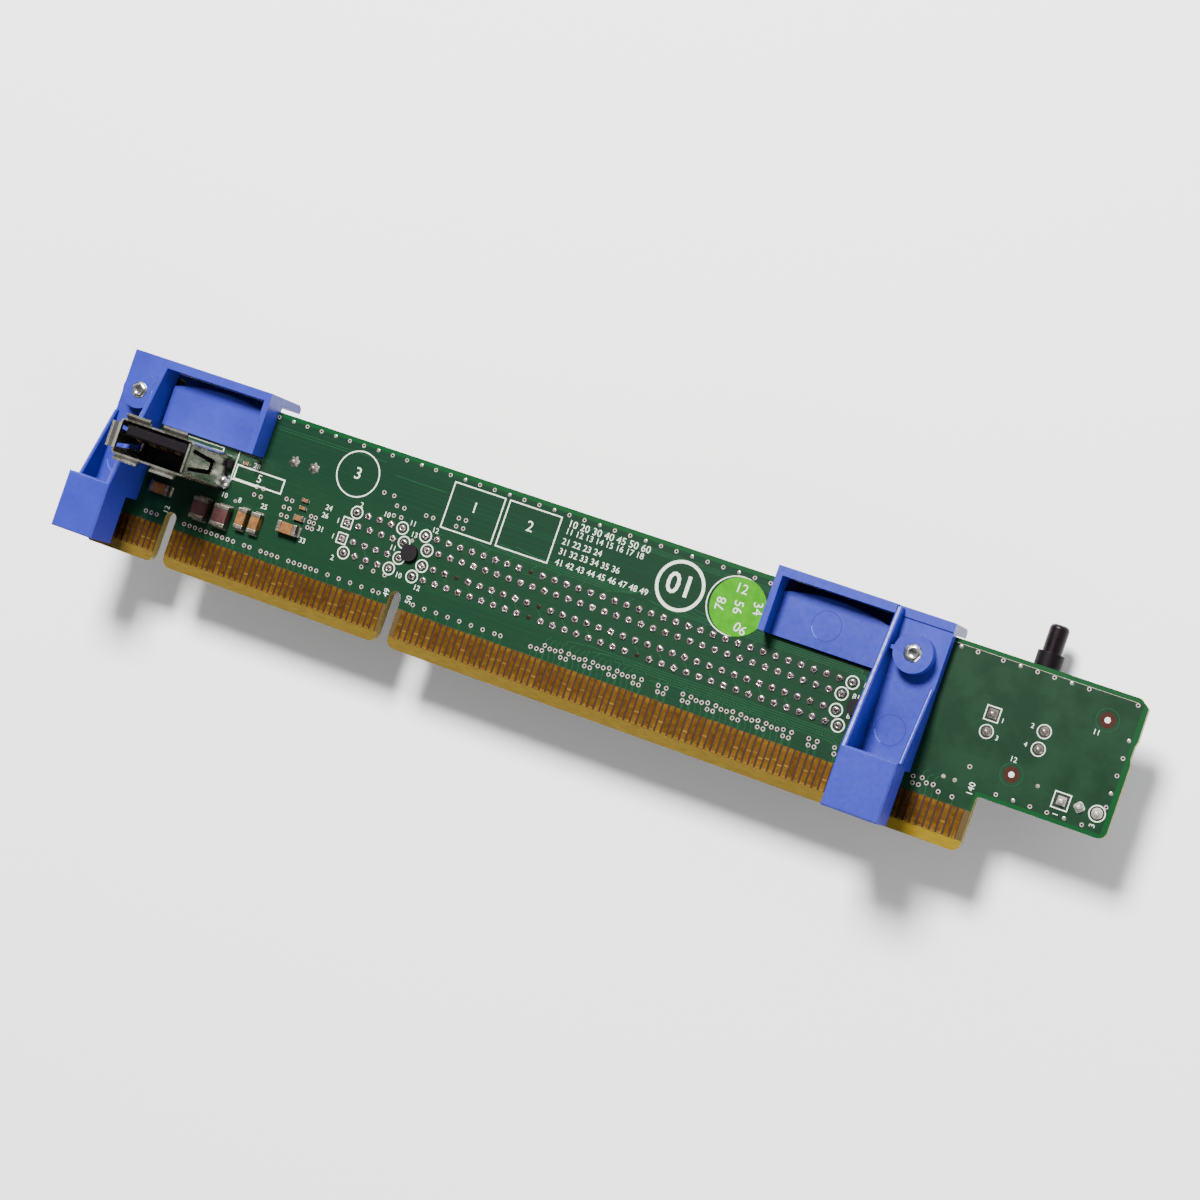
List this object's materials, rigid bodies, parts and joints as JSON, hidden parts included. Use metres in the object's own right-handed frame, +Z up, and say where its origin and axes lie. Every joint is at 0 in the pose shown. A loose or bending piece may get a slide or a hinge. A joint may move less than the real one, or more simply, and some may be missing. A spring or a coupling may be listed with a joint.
{
  "type": "pcie riser card",
  "caption": "Server riser card: card edge below, expansion slot on the back, blue moulded guides, upright serial port and a lid switch.",
  "frame": {"origin": "bottom centre of the bounding box, on the plane of the slot's mouth that the card lies on", "axes": "+X along the card from the left guide to the switch, +Y from the card edge to the top edge, +Z up out of the solder side"},
  "size_m": [0.167, 0.0354, 0.0269],
  "materials": {
    "board_laminate": "green solder mask over glass-epoxy laminate",
    "contact_gold": "gold plating",
    "slot_plastic": "moulded, glass-filled",
    "solder": "bright tin solder",
    "guide_plastic": "moulded, satin",
    "screw_steel": "zinc plated",
    "shell_steel": "tin-plated sheet",
    "insulator_plastic": "moulded",
    "dark_ceramic": "fired ceramic",
    "tan_ceramic": "fired ceramic",
    "chip_end_metal": "tinned",
    "green_paper": "printed paper",
    "switch_plastic": "moulded",
    "plunger_plastic": "moulded",
    "spring_steel": "drawn wire",
    "pin_metal": "tinned",
    "can_aluminium": "drawn can",
    "seal_rubber": "moulded"
  },
  "bodies": {
    "card": {"circuit_board": "board_laminate", "edge_contacts_front": "contact_gold", "edge_contacts_back": "contact_gold", "slot_housing": "slot_plastic", "slot_contacts": "contact_gold", "slot_solder_joints": "solder", "left_bracket": "guide_plastic", "right_bracket": "guide_plastic", "bracket_screws": "screw_steel", "usb_shell": "shell_steel", "usb_insulator": "insulator_plastic", "usb_contacts": "contact_gold", "usb_solder_joints": "solder", "bulk_capacitors": "dark_ceramic", "bulk_capacitor_terminals": "chip_end_metal", "ceramic_capacitors": "tan_ceramic", "ceramic_capacitor_terminals": "chip_end_metal", "small_capacitors": "tan_ceramic", "small_capacitor_terminals": "chip_end_metal", "label_sticker": "green_paper", "switch_body": "switch_plastic", "switch_spring": "spring_steel", "switch_terminals": "pin_metal", "switch_solder_joints": "solder", "header_base": "insulator_plastic", "header_pins": "pin_metal", "header_solder_joints": "solder", "reservoir_can": "can_aluminium", "reservoir_seal": "seal_rubber", "reservoir_leads": "pin_metal", "reservoir_solder_joints": "solder"},
    "plunger": {"switch_plunger": "plunger_plastic", "switch_bridge": "contact_gold"}
  },
  "joints": [
    {"name": "plunger_press", "type": "slide", "parent": "card", "child": "plunger", "axis": [0, -1, 0], "range_m": [0, 0.0026], "stiffness_N_per_m": 250, "springref_m": -0.002, "deforming": ["switch_spring"]}
  ]
}
